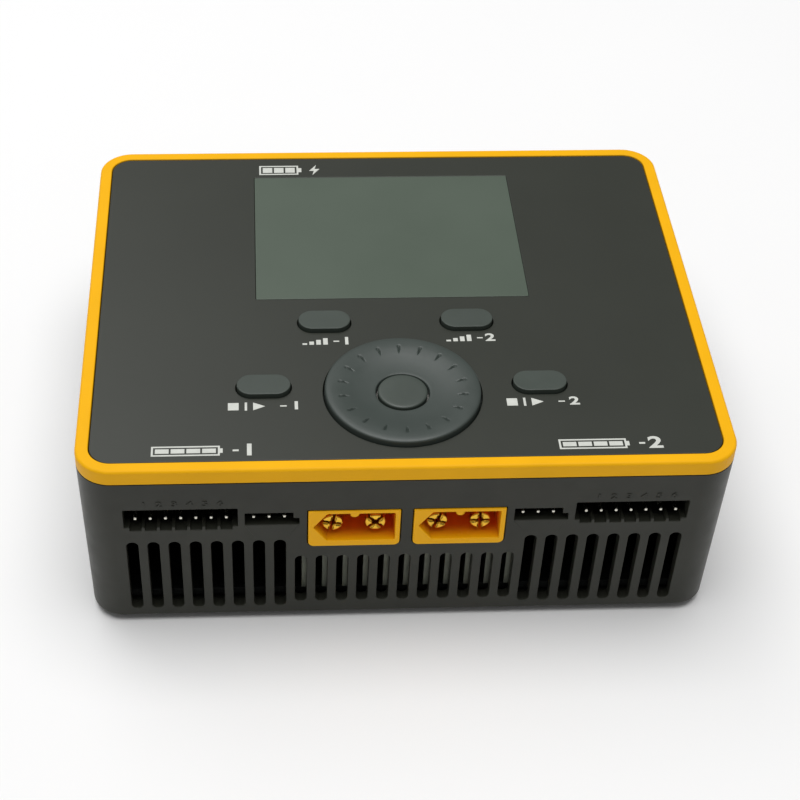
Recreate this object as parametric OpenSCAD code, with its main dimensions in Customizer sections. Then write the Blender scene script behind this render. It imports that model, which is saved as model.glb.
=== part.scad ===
// Two-channel balance battery charger: a plastic case under an amber bezel, with a screen, a jog
// dial and four buttons on top, battery sockets and vents in front, and fans, the power input and
// data sockets behind. Millimetres. The origin is the centre of the footprint, on the surface that
// the feet stand on. +X is right, +Y is back, +Z is up, and the battery sockets face -Y.

/* [Case] */
// Width of the bezel, the widest part of the case
case_w = 108.5; // [108:0.5:112]
// Depth of the bezel, front to back
case_d = 89.6; // [89.2:0.2:91]
// Height from the underside of the case to its top face
case_h = 35.6; // [35.4:0.1:37]
// Corner radius of the bezel, seen from above
corner_r = 6.0; // [5:0.1:7]
// Height of the amber band that shows on the sides
bezel_h = 3.0; // [2.4:0.1:3.4]
// Width of the amber band that shows round the top plate
bezel_band = 2.2; // [1.9:0.05:2.4]
// How far the bezel overhangs the base shell
overhang = 0; // [0:0.05:0.2]
// How far each side of the base shell leans in by its lower edge
draft = 0.6; // [0.2:0.05:0.7]
// Wall thickness of the base shell
wall = 2.4; // [2:0.1:2.6]
// Floor thickness of the base shell
floor_t = 1.6; // [1.4:0.1:1.8]
// How far the rubber feet stand below the case
foot_h = 1.2; // [0.8:0.1:1.5]

/* [Top plate] */
// Thickness of the top plate
plate_t = 1.65; // [1.4:0.05:1.7]
// Width of the screen window: the picture area of a 2.4 inch panel
window_w = 48.9; // [44:0.1:50]
// Depth of the screen window
window_d = 37.3; // [34:0.1:37.5]
// Distance of the window's centre behind the case's centre
window_y = 17.45; // [17:0.05:17.6]
// Width of a push button
button_w = 9.1; // [8:0.1:9.6]
// Depth of a push button
button_d = 5.0; // [4.4:0.1:5.2]
// How far the buttons stand above the top plate
button_rise = 0.8; // [0.4:0.1:1.2]
// How far a button can be pressed
button_travel = 0.4; // [0.3:0.05:0.45]
// Sideways distance of the status buttons from the centre line
status_x = 12.55; // [11:0.05:14]
// Front-to-back place of the status buttons
status_y = -7.95; // [-8:0.05:-7.75]
// Sideways distance of the start buttons from the centre line
start_x = 23.4; // [22.5:0.1:25]
// Front-to-back place of the start buttons
start_y = -24.8; // [-26:0.1:-22]
// Radius of the jog dial
dial_r = 13.2; // [12.6:0.1:13.4]
// How far the dial's rim stands above the top plate
dial_rise = 1.1; // [0.8:0.1:1.4]
// Front-to-back place of the dial
dial_y = -26.5; // [-26.6:0.05:-26.2]
// Number of finger marks pressed into the dial
dial_marks = 18; // [12:1:24]
// Radius of the push button in the middle of the dial
hub_r = 4.2; // [4:0.05:4.3]

/* [Front] */
// Distance between neighbouring vent slots
slot_pitch = 3.515; // [3.4:0.005:3.55]
// Width of a vent slot
slot_w = 2.0; // [1.6:0.1:2.1]
// Number of long slots on each side
side_slots = 8; // [6:1:8]
// Number of short slots under the output sockets; an odd number keeps one in the middle
middle_slots = 11; // [9:2:11]
// Sideways distance of the output sockets' centres from the centre line
output_x = 8.75; // [8.2:0.05:8.8]
// Sideways distance of the seven-pin balance ports' centres from the centre line
balance_x = 37.4; // [37.3:0.05:37.7]
// Sideways distance of the three-pin ports' centres from the centre line, key notch included
aux_x = 22.35; // [22.1:0.05:22.5]
// Distance between the pins of a balance port
balance_pitch = 2.5; // [2.5:0.01:2.54]
// Distance between the pins of a three-pin port
aux_pitch = 2.54; // [2.5:0.01:2.54]

/* [Back] */
// Side of the square fans
fan_size = 25; // [24:0.5:25]
// Thickness of the fans
fan_t = 10; // [8:0.5:10]
// Sideways distance of the fans from the centre line
fan_x = 31.2; // [30.6:0.1:31.4]
// Number of blades on a fan
fan_blades = 7; // [5:1:9]
// Height of the input socket's centre above the surface
input_z = 13.2; // [13:0.1:15]

/* [Hidden] */

$fn = 64;
eps = 0.01;            // overlap that makes two shapes one solid
cut = 1;               // how far a cutting shape runs past the face it opens
hull_fn = 64;          // facets of a circle that goes into a hull

// Heights
shell_z0 = foot_h;
inner_z0 = foot_h + floor_t;
top_z = foot_h + case_h;
bezel_z0 = top_z - bezel_h;
plate_top_z = top_z - 0.15;
plate_z0 = plate_top_z - plate_t;

// Base shell
shell_w = case_w - 2 * overhang;
shell_d = case_d - 2 * overhang;
shell_r = corner_r - overhang;
front_y = -shell_d / 2;
back_y = shell_d / 2;
cavity_w = shell_w - 2 * wall;
cavity_d = shell_d - 2 * wall;
cavity_r = shell_r - wall;
inner_front_y = -cavity_d / 2;
inner_back_y = cavity_d / 2;
edge_round = 0.5;      // small slope along the case's lower edge

// Bezel: the lip reaches down inside the base shell, and the ledge carries the top plate
opening_w = case_w - 2 * bezel_band;
opening_d = case_d - 2 * bezel_band;
opening_r = corner_r - bezel_band;
lip_gap = 0.15;
lip_t = 1.5;
lip_h = 3.0;
ledge_w = opening_w - 6;
ledge_d = opening_d - 6.4;

// Case screws run up through tubes in the base into bosses under the bezel
case_screw_x = cavity_w / 2 - 3.6;
case_screw_ys = [-24, 37];
boss_r = 3.2;
boss_split_z = 24;
screw_r = 1.2;         // shank radius of every M2.5 screw
tapped_r = 1.25;       // tapped hole that holds a shank
clear_r = 1.4;         // hole that a shank passes through
head_r = 2.1;
head_h = 1.3;

// Boards
board_t = 1.6;
main_z0 = inner_z0 + 1.2;
main_z1 = main_z0 + board_t;
main_w = cavity_w - 4.6;
main_y0 = inner_front_y + 0.5;
main_y1 = 30;
connector_z1 = 22.0;
connector_z0 = connector_z1 - board_t;
connector_w = cavity_w - 5;
connector_y1 = -20;
control_z1 = plate_z0 - 3.0;
control_z0 = control_z1 - board_t;
control_w = 85;
control_d = 77;
control_screw_x = 39.5;
control_screw_y = 35.6;
standoff_places = [[-38, -26], [38, -26], [-23.5, -26], [23.5, -26]];
board_screw_places = [[-46, 10], [46, 10]];

// Screen: a 2.4 inch panel, 60.3 x 42.7
lcd_w = 60.3;
lcd_d = 42.7;
lcd_t = 2.4;

// Buttons and switches
button_gap = 0.2;      // clearance round a button in its hole
flange_w = 1.0;        // how far a button's flange reaches under the plate
flange_z1 = plate_z0 - 0.1;
flange_z0 = flange_z1 - 0.6;
stem_z0 = control_z1 + 1.95;
switch_top_z = stem_z0 - button_travel - 0.05;
switch_side = 4.5;
button_places = [[-status_x, status_y], [status_x, status_y],
                 [-start_x, start_y], [start_x, start_y]];

// Dial: it turns on the encoder's fixed collar, and the push button stands in the collar
dial_gap = 0.25;
dial_inner_r = 4.5;
collar_r = 5.35;
collar_top_z = plate_z0 + 0.2;
dial_bore_r = collar_r + 0.05;
dial_z0 = plate_z0 - 1.0;
dial_top_z = plate_top_z + dial_rise;
collar_bore_r = 4.4;
collar_neck_r = 3.7;
hub_top_z = plate_top_z + 0.35;

// Front ports
slot_x_limit = (middle_slots - 1) / 2;
side_slot_z = [3.35, 20.1];
middle_slot_z = [4.35, 16.0];
output_z = 22.87;
output_size = [15.3, 8.25];
output_cavity = [13.6, 6.3];
output_cavity_rise = 0.3; // how far the cavity lies above the socket's middle
output_len = 16;
output_proud = 0.05;   // how far the socket's mouth stands out of the front wall
socket_gap = 0.15;      // clearance round a socket in the case wall
socket_back_t = 4;     // thickness of a power socket's back wall
output_pin_turns = [12, 45, 20, 0]; // how the four output contacts' slits are turned, from left to right
pin_tip = 1.3;         // how far the power contacts stay behind the socket's mouth
pin_shoulder = 0.3;    // how much thinner a contact is inside the back wall
output_pin_r = 1.75;
output_pin_pitch = 7.2;
balance_pins_n = 7;
balance_port = [18.8, 4.16];
balance_port_z = 25.78;
key_depth = 0.75;
key_w = 1.95;
aux_port = [8.0, 2.78];
aux_port_z = 25.27;
aux_key = [1.0, 1.5];
aux_shift = -aux_key[0] / 2; // from the middle of port and key to the middle of the pins
pin_side = 0.64;       // square contact pins
pin_z = 25.25;
pin_recess = 0.7;      // how far the pin tips stay behind the front wall's face

// Back
fan_z = inner_z0 + 0.9 + fan_size / 2;
fan_bore_r = fan_size / 2 - 0.9;
fan_hole_pitch = fan_size * 0.8;
fan_y0 = inner_back_y - fan_t;
rotor_hub_r = 6.2;
bearing_r = 2.2;
shaft_r = 0.8;
grille_rings = [[3.4, 4.8], [6.2, 7.6], [9.0, 10.4]];
spoke_w = 1.6;
input_size = [21.0, 10.6];
input_cavity = [18.9, 8.4];
input_len = 17.5;
input_pin_r = 2.25;
input_pin_pitch = 10.9;
usb_x = -10;
usb_size = [7.5, 2.6];
card_x = 9;
card_size = [14.2, 2.0];
foot_r = 4.0;
foot_x = shell_w / 2 - 16;
foot_y = shell_d / 2 - 9;

// ---------------------------------------------------------------- shared shapes

module rounded_rect(w, d, r) {
    square([w - 2 * r, d], center = true);
    square([w, d - 2 * r], center = true);
    for (sx = [-1, 1], sy = [-1, 1])
        translate([sx * (w / 2 - r), sy * (d / 2 - r)]) circle(r);
}

module slab(w, d, r, z0, z1) {
    translate([0, 0, z0]) linear_extrude(z1 - z0) rounded_rect(w, d, r);
}

module pill(w, d) {
    square([w - d, d], center = true);
    for (s = [-1, 1]) translate([s * (w - d) / 2, 0]) circle(d / 2);
}

module box(x, y, z) {
    translate([x[0], y[0], z[0]]) cube([x[1] - x[0], y[1] - y[0], z[1] - z[0]]);
}

module rod(r, z0, z1) {
    translate([0, 0, z0]) cylinder(r = r, h = z1 - z0);
}

// An outline drawn in X and Z, run along Y from y0 to y1
module along_y(y0, y1) {
    translate([0, y1, 0]) rotate([90, 0, 0]) linear_extrude(y1 - y0) children();
}

module at_each(places) {
    for (p = places) translate([p[0], p[1], 0]) children();
}

// The children, and their copy on the other side of the centre line
module both_sides() {
    children();
    mirror([1, 0, 0]) children();
}

// A pan-head screw with its head's underside at z = 0 and its shank going down
module screw(length) {
    difference() {
        union() {
            rod(head_r, 0, head_h);
            rod(screw_r, -length, eps);
        }
        for (a = [0, 90]) rotate(a) box([-1.2, 1.2], [-0.25, 0.25], [head_h - 0.6, head_h + cut]);
    }
}

module case_screw_places() {
    for (sx = [-1, 1], y = case_screw_ys) translate([sx * case_screw_x, y, 0]) children();
}

// ---------------------------------------------------------------- case

module shell_block() {
    lean = draft * 2;
    hull($fn = hull_fn) {
        slab(shell_w - lean - 2 * edge_round, shell_d - lean - 2 * edge_round,
             shell_r - draft - edge_round, shell_z0, shell_z0 + eps);
        slab(shell_w - lean, shell_d - lean, shell_r - draft,
             shell_z0 + edge_round, shell_z0 + edge_round + eps);
        slab(shell_w, shell_d, shell_r, bezel_z0 - eps, bezel_z0);
    }
}

module vent_slot(x, z) {
    translate([x, 0, (z[0] + z[1]) / 2]) rotate([0, 90, 0])
        along_y(front_y - cut, inner_front_y + eps) pill(z[1] - z[0], slot_w);
}

module vent_slots() {
    last = slot_x_limit + side_slots;
    for (i = [-last : last])
        vent_slot(i * slot_pitch, abs(i) > slot_x_limit ? side_slot_z : middle_slot_z);
}

// Balance port: a rectangle with one key notch under each pin
module balance_port_outline() {
    h = balance_port[1];
    translate([0, balance_port_z]) {
        square(balance_port, center = true);
        for (i = [0 : balance_pins_n - 1])
            translate([(i - (balance_pins_n - 1) / 2) * balance_pitch, -h / 2 - key_depth / 2 + eps])
                square([key_w, key_depth + 2 * eps], center = true);
    }
}

// Three-pin port: a rectangle with a key notch at its lower right
module aux_port_outline() {
    w = aux_port[0];
    h = aux_port[1];
    translate([aux_shift, aux_port_z]) {
        square(aux_port, center = true);
        translate([w / 2 - eps, -h / 2]) square([aux_key[0] + eps, aux_key[1]]);
    }
}

// Outer outline of a power socket: square above, rounded below
module socket_outline(size, clearance) {
    w = size[0] + 2 * clearance;
    h = size[1] + 2 * clearance;
    r = 1.0;
    translate([-w / 2, -h / 2 + r]) square([w, h - r]);
    translate([-w / 2 + r, -h / 2]) square([w - 2 * r, h]);
    for (s = [-1, 1]) translate([s * (w / 2 - r), -h / 2 + r]) circle(r);
}

module front_openings() {
    y0 = front_y - cut;
    y1 = inner_front_y + eps;
    for (s = [-1, 1]) {
        translate([s * balance_x, 0, 0]) along_y(y0, y1) balance_port_outline();
        translate([s * aux_x, 0, 0]) along_y(y0, y1) aux_port_outline();
        translate([s * output_x, 0, output_z]) along_y(y0, y1) socket_outline(output_size, socket_gap);
    }
}

module fan_grille() {
    along_y(inner_back_y - eps, back_y + cut)
        for (ring = grille_rings) difference() {
            circle(ring[1]);
            circle(ring[0]);
            for (a = [45, 135]) rotate(a) square([2 * ring[1] + cut, spoke_w], center = true);
        }
}

module fan_places() {
    for (s = [-1, 1]) translate([s * fan_x, 0, fan_z]) children();
}

module fan_corners() {
    p = fan_hole_pitch / 2;
    for (sx = [-1, 1], sz = [-1, 1]) translate([sx * p, 0, sz * p]) children();
}

module back_openings() {
    fan_places() {
        fan_grille();
        fan_corners() {
            along_y(inner_back_y - eps, back_y + cut) circle(clear_r);
            along_y(back_y - 1.7, back_y + cut) circle(head_r + 0.2);
        }
    }
    y0 = inner_back_y - eps;
    y1 = back_y + cut;
    translate([0, 0, input_z]) along_y(y0, y1) socket_outline(input_size, socket_gap);
    translate([usb_x, 0, control_z0 - usb_size[1] / 2])
        along_y(y0, y1) rounded_rect(usb_size[0] + 0.5, usb_size[1] + 0.5, 0.5);
    translate([card_x, 0, control_z0 - card_size[1] / 2])
        along_y(y0, y1) rounded_rect(card_size[0] - 1.6, card_size[1] + 0.3, 0.4);
}

module base_shell() color("#3a3b36") {
    difference() {
        union() {
            difference() {
                shell_block();
                slab(cavity_w, cavity_d, cavity_r, inner_z0, bezel_z0 + cut);
            }
            case_screw_places() rod(boss_r, inner_z0 - eps, boss_split_z - 0.1);
            at_each(standoff_places) rod(3.0, inner_z0 - eps, main_z0);
            at_each(board_screw_places) rod(3.0, inner_z0 - eps, main_z0);
        }
        vent_slots();
        front_openings();
        back_openings();
        case_screw_places() {
            rod(clear_r, shell_z0 - cut, boss_split_z + cut);
            rod(head_r + 0.2, shell_z0 - cut, shell_z0 + 4);
        }
        at_each(concat(standoff_places, board_screw_places)) rod(tapped_r, shell_z0 + 0.7, main_z0 + cut);
        for (sx = [-1, 1], sy = [-1, 1]) translate([sx * foot_x, sy * foot_y, 0])
            rod(foot_r + 0.1, shell_z0 - cut, shell_z0 + 0.4);
    }
}

module bezel_frame() color("#f0a41c") {
    lip_w = cavity_w - 2 * lip_gap;
    lip_d = cavity_d - 2 * lip_gap;
    difference() {
        union() {
            slab(case_w, case_d, corner_r, bezel_z0, top_z);
            difference() {
                slab(lip_w, lip_d, cavity_r - lip_gap, bezel_z0 - lip_h, bezel_z0 + eps);
                slab(lip_w - 2 * lip_t, lip_d - 2 * lip_t, 1.2, bezel_z0 - lip_h - cut, bezel_z0 + cut);
            }
            case_screw_places() rod(boss_r, boss_split_z, bezel_z0 + eps);
            for (sx = [-1, 1], sy = [-1, 1]) translate([sx * control_screw_x, sy * control_screw_y, 0]) {
                rod(2.8, control_z1, plate_z0 - eps);
                box([-2.5, 2.5], sy > 0 ? [0, 5] : [-5, 0], [bezel_z0, plate_z0 - eps]);
            }
        }
        slab(opening_w, opening_d, opening_r, plate_z0, top_z + cut);
        difference() {
            slab(ledge_w, ledge_d, 2, bezel_z0 - cut, plate_z0 + cut);
            for (sx = [-1, 1], sy = [-1, 1]) translate([sx * control_screw_x, sy * control_screw_y, 0]) {
                rod(2.8, control_z1 - cut, plate_z0);
                box([-2.5, 2.5], sy > 0 ? [0, 5] : [-5, 0], [bezel_z0 - cut, plate_z0]);
            }
            case_screw_places() rod(boss_r, boss_split_z, plate_z0);
        }
        translate([0, dial_y, 0]) rod(dial_r + 1.6, bezel_z0 - eps, plate_z0 + cut);
        case_screw_places() rod(tapped_r, boss_split_z - cut, boss_split_z + 7);
        for (sx = [-1, 1], sy = [-1, 1]) translate([sx * control_screw_x, sy * control_screw_y, 0])
            rod(tapped_r, control_z1 - cut, plate_z0 - 0.6);
    }
}

module faceplate() color("#4a4c46") difference() {
    slab(opening_w - 0.3, opening_d - 0.3, opening_r - 0.15, plate_z0, plate_top_z);
    translate([0, window_y, 0]) slab(window_w + 0.1, window_d + 0.1, 0.3, plate_z0 - cut, top_z + cut);
    at_each(button_places) translate([0, 0, plate_z0 - cut])
        linear_extrude(plate_t + 2 * cut) pill(button_w + 2 * button_gap, button_d + 2 * button_gap);
    translate([0, dial_y, 0]) rod(dial_r + dial_gap, plate_z0 - cut, top_z + cut);
}

module rubber_feet() color("#1c1c1c")
    for (sx = [-1, 1], sy = [-1, 1]) translate([sx * foot_x, sy * foot_y, 0])
        rotate_extrude() polygon([[0, 0], [foot_r - 0.5, 0], [foot_r, 0.5],
                                  [foot_r, shell_z0 + 0.4], [0, shell_z0 + 0.4]]);

module case_screws() color("#2b2b2b")
    case_screw_places() translate([0, 0, shell_z0 + 4]) mirror([0, 0, 1])
        screw(boss_split_z - shell_z0 + 1.5);

// ---------------------------------------------------------------- screen and control board

module lcd_window() color("#5a645a") translate([0, window_y, 0])
    slab(window_w, window_d, 0.25, plate_z0 + 0.05, plate_top_z);

module lcd_module() color("#30342f") translate([0, window_y, 0]) {
    z1 = plate_z0;
    slab(lcd_w, lcd_d, 0.4, z1 - lcd_t, z1 - 0.5);
    slab(lcd_w - 4, lcd_d - 2, 0.3, z1 - 0.5 - eps, z1);
    box([-lcd_w / 2 - 3, -lcd_w / 2 + eps], [-8, 8], [z1 - lcd_t, z1 - lcd_t + 0.3]);
}

module lcd_pad() color("#8a8a84") translate([0, window_y, 0])
    slab(lcd_w - 6, lcd_d - 6, 1, control_z1, plate_z0 - lcd_t);

module control_board() color("#1f5a3a") difference() {
    slab(control_w, control_d, 1.5, control_z0, control_z1);
    for (sx = [-1, 1], sy = [-1, 1]) translate([sx * control_screw_x, sy * control_screw_y, 0])
        rod(clear_r, control_z0 - cut, control_z1 + cut);
}

module control_chips() color("#202020") {
    z1 = control_z0;
    box([14, 24], [-2, 8], [z1 - 1.2, z1]);
    box([-20, -13], [2, 9], [z1 - 1.0, z1]);
    box([-6, 6], [14, 18], [z1 - 1.6, z1]);
    box([20, 26], [18, 23], [z1 - 1.4, z1]);
    translate([28, 4, 0]) rod(1.6, z1 - 3.5, z1);
    translate([33, 4, 0]) rod(1.6, z1 - 3.5, z1);
}

module tact_switches() color("#b8b8b4")
    at_each(concat(button_places, [[0, dial_y]])) {
        box([-switch_side / 2, switch_side / 2], [-switch_side / 2, switch_side / 2],
            [control_z1, switch_top_z - 0.5]);
        rod(1.2, control_z1 + 0.5, switch_top_z);
    }

module push_button() {
    translate([0, 0, flange_z1 - eps])
        linear_extrude(plate_top_z + button_rise - flange_z1 + eps) pill(button_w, button_d);
    translate([0, 0, flange_z0])
        linear_extrude(flange_z1 - flange_z0) pill(button_w + 2 * flange_w, button_d + 2 * flange_w);
    rod(1.4, stem_z0, flange_z0 + eps);
}

module status_button_1() color("#565b55") at_each([button_places[0]]) push_button();
module status_button_2() color("#565b55") at_each([button_places[1]]) push_button();
module start_button_1() color("#565b55") at_each([button_places[2]]) push_button();
module start_button_2() color("#565b55") at_each([button_places[3]]) push_button();

// The dial's top is dished: it falls from the broad rim towards the push button
module jog_dial() color("#50554f") translate([0, dial_y, 0]) {
    z = plate_top_z;
    mark_r = dial_r - 3.1;
    difference() {
        rotate_extrude() polygon([
            [dial_bore_r, dial_z0], [6.9, dial_z0], [6.9, plate_z0 + 0.4], [dial_r - 1.4, plate_z0 + 0.4],
            [dial_r - 1.4, dial_z0], [dial_r + 0.7, dial_z0], [dial_r + 0.7, plate_z0 - 0.3],
            [dial_r, plate_z0 - 0.3], [dial_r, z + dial_rise - 0.35], [dial_r - 0.35, dial_top_z],
            [dial_r - 2.4, dial_top_z], [dial_r - 4.4, z + 0.75], [6.6, z + 0.25],
            [dial_inner_r + 0.2, z + 0.1], [dial_inner_r, z], [dial_inner_r, collar_top_z + 0.3],
            [dial_bore_r, collar_top_z + 0.3],
        ]);
        for (i = [0 : dial_marks - 1]) rotate(i * 360 / dial_marks)
            translate([mark_r, 0, dial_top_z - 0.45]) linear_extrude(cut) pill(1.9, 0.6);
    }
}

module dial_button() color("#50554f") translate([0, dial_y, 0]) rotate_extrude() polygon([
    [0, stem_z0], [hub_r, stem_z0], [hub_r, collar_top_z - 0.6], [collar_neck_r - 0.25, collar_top_z - 0.6],
    [collar_neck_r - 0.25, collar_top_z + 0.5], [hub_r, collar_top_z + 0.5],
    [hub_r, hub_top_z - 0.25], [hub_r - 0.25, hub_top_z], [0, hub_top_z],
]);

// The fixed collar guides the dial outside and the push button inside
module encoder_ring() color("#6a6a64") translate([0, dial_y, 0]) rotate_extrude() polygon([
    [collar_bore_r, control_z1], [11.0, control_z1], [11.0, control_z1 + 1.4], [collar_r, control_z1 + 1.4],
    [collar_r, collar_top_z], [collar_neck_r, collar_top_z], [collar_neck_r, collar_top_z - 0.4],
    [collar_bore_r, collar_top_z - 0.4],
]);

module control_screws() color("#c8c8c4")
    for (sx = [-1, 1], sy = [-1, 1]) translate([sx * control_screw_x, sy * control_screw_y, control_z0])
        mirror([0, 0, 1]) screw(3.6);

module beeper() color("#161616") translate([-33, 14, 0]) difference() {
    rod(4.5, control_z0 - 5, control_z0);
    rod(0.9, control_z0 - 6, control_z0 - 3.5);
}

// ---------------------------------------------------------------- sockets

// A pointed outline keys the plug: it is blunt on the right and pointed on the left
module cavity_outline(size) {
    w = size[0];
    h = size[1];
    point = h * 0.37;
    difference() {
        polygon([[-w / 2, 0], [-w / 2 + point, h / 2], [w / 2, h / 2],
                 [w / 2, -h / 2], [-w / 2 + point, -h / 2]]);
        translate([0, h / 2]) circle(0.8);
    }
}

// A power socket with its mouth at y = 0, facing -Y
module power_socket(size, cavity, rise, length, pin_r, pitch) difference() {
    along_y(0, length) socket_outline(size, 0);
    along_y(-cut, length - socket_back_t) translate([0, rise]) cavity_outline(cavity);
    for (s = [-1, 1]) translate([s * pitch / 2, 0, 0])
        along_y(length - socket_back_t - cut, length + cut) circle(pin_r - pin_shoulder + 0.02);
}

// A sprung contact: a tube split into four fingers, on a thinner stem that is fixed in the socket's
// back wall, with a solder tab that stands on the board
module power_pin(r, length, tab_z, turn) {
    split_depth = 5;
    half_slit = 0.16;
    stem_y1 = length + 0.5;
    tab_y1 = length + 3.5;
    difference() {
        along_y(pin_tip, length - socket_back_t) circle(r);
        along_y(pin_tip - cut, pin_tip + split_depth + cut) circle(r * 0.3);
        for (a = [turn, turn + 90]) rotate([0, a, 0])
            box([-r - cut, r + cut], [pin_tip - cut, pin_tip + split_depth], [-half_slit, half_slit]);
    }
    along_y(length - socket_back_t - eps, stem_y1) circle(r - pin_shoulder);
    along_y(stem_y1 - eps, tab_y1) circle(r * 0.45);
    box([-r * 0.6, r * 0.6], [stem_y1, tab_y1], [tab_z, 0]);
}

module output_pins(side) translate([side * output_x, front_y - output_proud, output_z])
    for (s = [-1, 1]) translate([s * output_pin_pitch / 2, 0, 0]) {
        turn = output_pin_turns[side + 1 + (s + 1) / 2];
        power_pin(output_pin_r, output_len, connector_z1 - output_z, turn);
    }

module output_socket(side) translate([side * output_x, front_y - output_proud, output_z])
    power_socket(output_size, output_cavity, output_cavity_rise, output_len,
                 output_pin_r, output_pin_pitch);

module output_socket_1() color("#f0a01c") output_socket(-1);
module output_socket_2() color("#f0a01c") output_socket(1);
module output_pins_1() color("#d8b860") output_pins(-1);
module output_pins_2() color("#d8b860") output_pins(1);

module input_place() translate([0, back_y + 0.3, input_z]) rotate(180) children();

module input_socket() color("#f0a01c") input_place()
    power_socket(input_size, input_cavity, 0, input_len, input_pin_r, input_pin_pitch);

module input_pins() color("#d8b860") input_place()
    for (s = [-1, 1]) translate([s * input_pin_pitch / 2, 0, 0])
        power_pin(input_pin_r, input_len, main_z1 - input_z, 45);

// Square pins that point forwards out of a header and turn down to the board behind it
module contact_pins(count, pitch, back) {
    h = pin_side / 2;
    for (i = [0 : count - 1]) translate([(i - (count - 1) / 2) * pitch, 0, 0]) {
        box([-h, h], [front_y + pin_recess, back], [pin_z - h, pin_z + h]);
        box([-h, h], [back - pin_side, back], [connector_z1, pin_z]);
    }
}

module pin_holes(count, pitch, y0, y1) {
    h = pin_side / 2 + 0.01;
    for (i = [0 : count - 1]) translate([(i - (count - 1) / 2) * pitch, 0, 0])
        box([-h, h], [y0, y1], [pin_z - h, pin_z + h]);
}

balance_back_y = inner_front_y + 8.6;

module balance_header(side) color("#2a2b28") translate([side * balance_x, 0, 0]) difference() {
    box([-balance_port[0] / 2 - 0.8, balance_port[0] / 2 + 0.8], [inner_front_y + 0.05, balance_back_y],
        [connector_z1, balance_port_z + balance_port[1] / 2 + 0.8]);
    along_y(inner_front_y - cut, inner_front_y + 5.6) balance_port_outline();
    pin_holes(balance_pins_n, balance_pitch, inner_front_y, balance_back_y + cut);
}

module aux_header(side) color("#2a2b28") translate([side * aux_x + aux_shift, 0, 0]) difference() {
    box([-4.0, 4.0], [inner_front_y + 3.2, inner_front_y + 5.7], [connector_z1, aux_port_z + 1.4]);
    pin_holes(3, aux_pitch, inner_front_y, inner_front_y + 6 + cut);
}

module balance_header_1() balance_header(-1);
module balance_header_2() balance_header(1);
module aux_header_1() aux_header(-1);
module aux_header_2() aux_header(1);
module balance_pins_1() color("#d0d0c8") translate([-balance_x, 0, 0])
    contact_pins(balance_pins_n, balance_pitch, balance_back_y + 1.2);
module balance_pins_2() color("#d0d0c8") translate([balance_x, 0, 0])
    contact_pins(balance_pins_n, balance_pitch, balance_back_y + 1.2);
module aux_pins_1() color("#d0d0c8") translate([-aux_x + aux_shift, 0, 0])
    contact_pins(3, aux_pitch, inner_front_y + 7);
module aux_pins_2() color("#d0d0c8") translate([aux_x + aux_shift, 0, 0])
    contact_pins(3, aux_pitch, inner_front_y + 7);

// Data sockets hang under the control board: a metal shell round a tongue, and a card slot
module usb_socket() color("#b4b6b8") translate([usb_x, 0, control_z0 - usb_size[1] / 2]) {
    w = usb_size[0];
    h = usb_size[1];
    y0 = inner_back_y - 5.2;
    y1 = back_y - 0.3;
    difference() {
        along_y(y0, y1) rounded_rect(w, h, 0.6);
        along_y(y0 + 0.6, y1 + cut) rounded_rect(w - 0.6, h - 0.6, 0.4);
    }
    box([-2.6, 2.6], [y0 + 0.5, y1 - 0.9], [-0.3, 0.35]);
}

module card_socket() color("#b4b6b8") translate([card_x, 0, control_z0 - card_size[1] / 2]) difference() {
    y0 = inner_back_y - 13.5;
    y1 = inner_back_y - 0.1;
    along_y(y0, y1) square(card_size, center = true);
    along_y(y0 + 1, y1 + cut) square([11.2, 1.1], center = true);
}

// ---------------------------------------------------------------- power electronics

module main_board() color("#1f5a3a") difference() {
    box([-main_w / 2, main_w / 2], [main_y0, main_y1], [main_z0, main_z1]);
    case_screw_places() rod(boss_r + 0.6, main_z0 - cut, main_z1 + cut);
    at_each(concat(standoff_places, board_screw_places)) rod(clear_r, main_z0 - cut, main_z1 + cut);
}

module board_screws() color("#c8c8c4")
    at_each(board_screw_places) translate([0, 0, main_z1]) screw(3.2);

module connector_board() color("#1f5a3a") difference() {
    box([-connector_w / 2, connector_w / 2],
        [inner_front_y + 0.4, connector_y1],
        [connector_z0, connector_z1]);
    notch = output_x + output_size[0] / 2 + 0.4;
    box([-notch, notch], [inner_front_y - cut, front_y - output_proud + output_len + 0.8],
        [connector_z0 - cut, connector_z1 + cut]);
    case_screw_places() rod(boss_r + 0.6, connector_z0 - cut, connector_z1 + cut);
    at_each(standoff_places) rod(clear_r, connector_z0 - cut, connector_z1 + cut);
}

module connector_standoffs() color("#c9b070")
    at_each(standoff_places) difference() {
        union() {
            translate([0, 0, main_z1]) cylinder(r = 2.8, h = connector_z0 - main_z1, $fn = 6);
            rod(screw_r, main_z0 - 1.6, main_z1 + eps);
        }
        rod(tapped_r, connector_z0 - 6, connector_z0 + cut);
    }

module connector_screws() color("#c8c8c4")
    at_each(standoff_places) translate([0, 0, connector_z1]) screw(5.5);

// One fin stands behind the right part of each short slot
module heatsink() color("#8c9094") {
    y0 = inner_front_y + 0.25;
    y1 = -28.8;
    z1 = 17.0;
    fin_t = 1.1;
    fin_shift = 0.72;
    half = slot_x_limit * slot_pitch + 2.2;
    for (i = [-slot_x_limit : slot_x_limit]) {
        x = i * slot_pitch + fin_shift;
        box([x - fin_t / 2, x + fin_t / 2], [y0, y1 + eps], [main_z1, z1]);
    }
    box([-half, half], [y1, y1 + 2.6], [main_z1, z1]);
}

module power_transistors() color("#222222")
    for (x = [-14, 0, 14]) translate([x, -28.8 + 2.6, 0]) {
        box([-5, 5], [0.02, 4.0], [main_z1 + 2.4, main_z1 + 11]);
        for (i = [-1, 0, 1])
            box([i * 2.54 - 0.4, i * 2.54 + 0.4], [1.4, 2.2], [main_z1, main_z1 + 2.4 + eps]);
    }

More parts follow.
